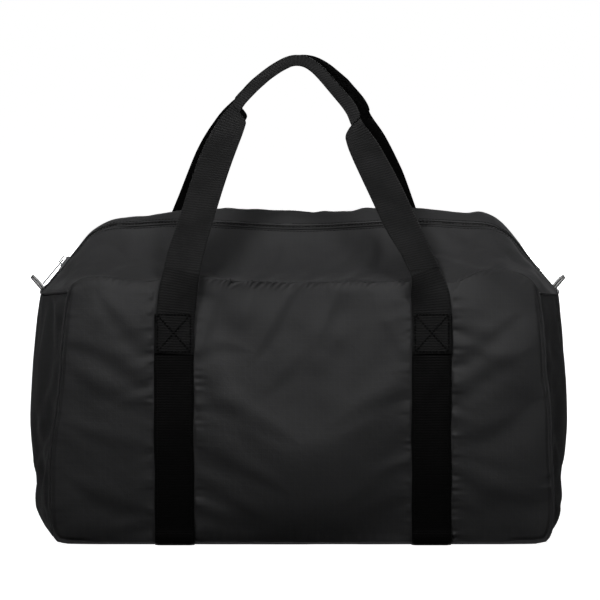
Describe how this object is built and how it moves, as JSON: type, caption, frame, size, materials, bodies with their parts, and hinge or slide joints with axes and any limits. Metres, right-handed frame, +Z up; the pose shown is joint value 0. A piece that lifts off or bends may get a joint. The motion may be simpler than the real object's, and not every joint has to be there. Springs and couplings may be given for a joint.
{
  "type": "weekender bag",
  "caption": "Soft cloth weekender bag: box-shaped body with rounded ends, arched zipped top, two tall webbing handles sewn to full-height straps, and a finger tab at each zip end.",
  "frame": {"origin": "on the floor under the middle of the bag", "axes": "+X along the bag's length, to the right as seen from the front; -Y is the front; +Z up"},
  "size_m": [0.5264, 0.228, 0.4674],
  "materials": {
    "nylon_cloth": "black plain-weave nylon, slight sheen",
    "webbing": "black ribbed webbing, matt",
    "thread": "black sewing thread",
    "seam_tape": "black woven binding tape",
    "zip_tape": "black woven zip tape",
    "zip_coil": "black coil teeth, satin",
    "zip_metal": "nickel-plated, softly polished"
  },
  "bodies": {
    "bag": {"base_panel": "nylon_cloth", "front_box_stitching": "thread", "front_left_shoulder": "nylon_cloth", "front_left_strap": "webbing", "front_panel": "nylon_cloth", "front_right_shoulder": "nylon_cloth", "front_right_strap": "webbing", "front_seam_binding": "seam_tape", "front_zip_coil_ends": "zip_coil", "front_zip_tape_ends": "zip_tape", "left_base_strap": "webbing", "left_gusset": "nylon_cloth", "rear_box_stitching": "thread", "rear_left_shoulder": "nylon_cloth", "rear_left_strap": "webbing", "rear_panel": "nylon_cloth", "rear_right_shoulder": "nylon_cloth", "rear_right_strap": "webbing", "rear_seam_binding": "seam_tape", "rear_zip_coil_ends": "zip_coil", "rear_zip_tape_ends": "zip_tape", "right_base_strap": "webbing", "right_gusset": "nylon_cloth", "zip_bottom_stop": "zip_metal", "zip_top_stops": "zip_metal"},
    "front_lid": {"front_top_panel": "nylon_cloth", "front_zip_tape": "zip_tape", "front_zip_coil": "zip_coil"},
    "rear_lid": {"rear_top_panel": "nylon_cloth", "rear_zip_tape": "zip_tape", "rear_zip_coil": "zip_coil"},
    "front_handle": {"front_handle_left_leg": "webbing", "front_handle_right_leg": "webbing", "front_handle_grip": "webbing", "front_grip_stitching": "thread"},
    "rear_handle": {"rear_handle_left_leg": "webbing", "rear_handle_right_leg": "webbing", "rear_handle_grip": "webbing", "rear_grip_stitching": "thread"},
    "slider": {"zip_slider": "zip_metal"},
    "puller": {"zip_puller": "zip_metal"},
    "left_finger_tab": {"left_tab": "nylon_cloth"},
    "right_finger_tab": {"right_tab": "nylon_cloth"}
  },
  "joints": [
    {"name": "front_lid_open", "type": "hinge", "parent": "bag", "child": "front_lid", "pos_m": [0, -0.0995, 0.264], "axis": [1, 0, 0], "range_deg": [0, 30]},
    {"name": "rear_lid_open", "type": "hinge", "parent": "bag", "child": "rear_lid", "pos_m": [0, 0.0995, 0.264], "axis": [-1, 0, 0], "range_deg": [0, 30]},
    {"name": "front_handle_fold", "type": "hinge", "parent": "bag", "child": "front_handle", "pos_m": [0, -0.10899, 0.226], "axis": [1, 0, 0], "range_deg": [0, 160]},
    {"name": "rear_handle_fold", "type": "hinge", "parent": "bag", "child": "rear_handle", "pos_m": [0, 0.10899, 0.226], "axis": [-1, 0, 0], "range_deg": [0, 160]},
    {"name": "zip_slide", "type": "slide", "parent": "bag", "child": "slider", "axis": [0.6428, 0, 0.766], "range_m": [0, 0.018]},
    {"name": "puller_swing", "type": "hinge", "parent": "slider", "child": "puller", "pos_m": [-0.23081, 0, 0.26792], "axis": [0, 1, 0], "range_deg": [0, 165]},
    {"name": "left_tab_bend", "type": "hinge", "parent": "bag", "child": "left_finger_tab", "pos_m": [-0.251, 0, 0.2385], "axis": [0, -1, 0], "range_deg": [0, 40], "stiffness_Nm_per_rad": 0.004, "springref_deg": -22.92},
    {"name": "right_tab_bend", "type": "hinge", "parent": "bag", "child": "right_finger_tab", "pos_m": [0.251, 0, 0.2385], "axis": [0, 1, 0], "range_deg": [0, 40], "stiffness_Nm_per_rad": 0.004, "springref_deg": -22.92}
  ]
}
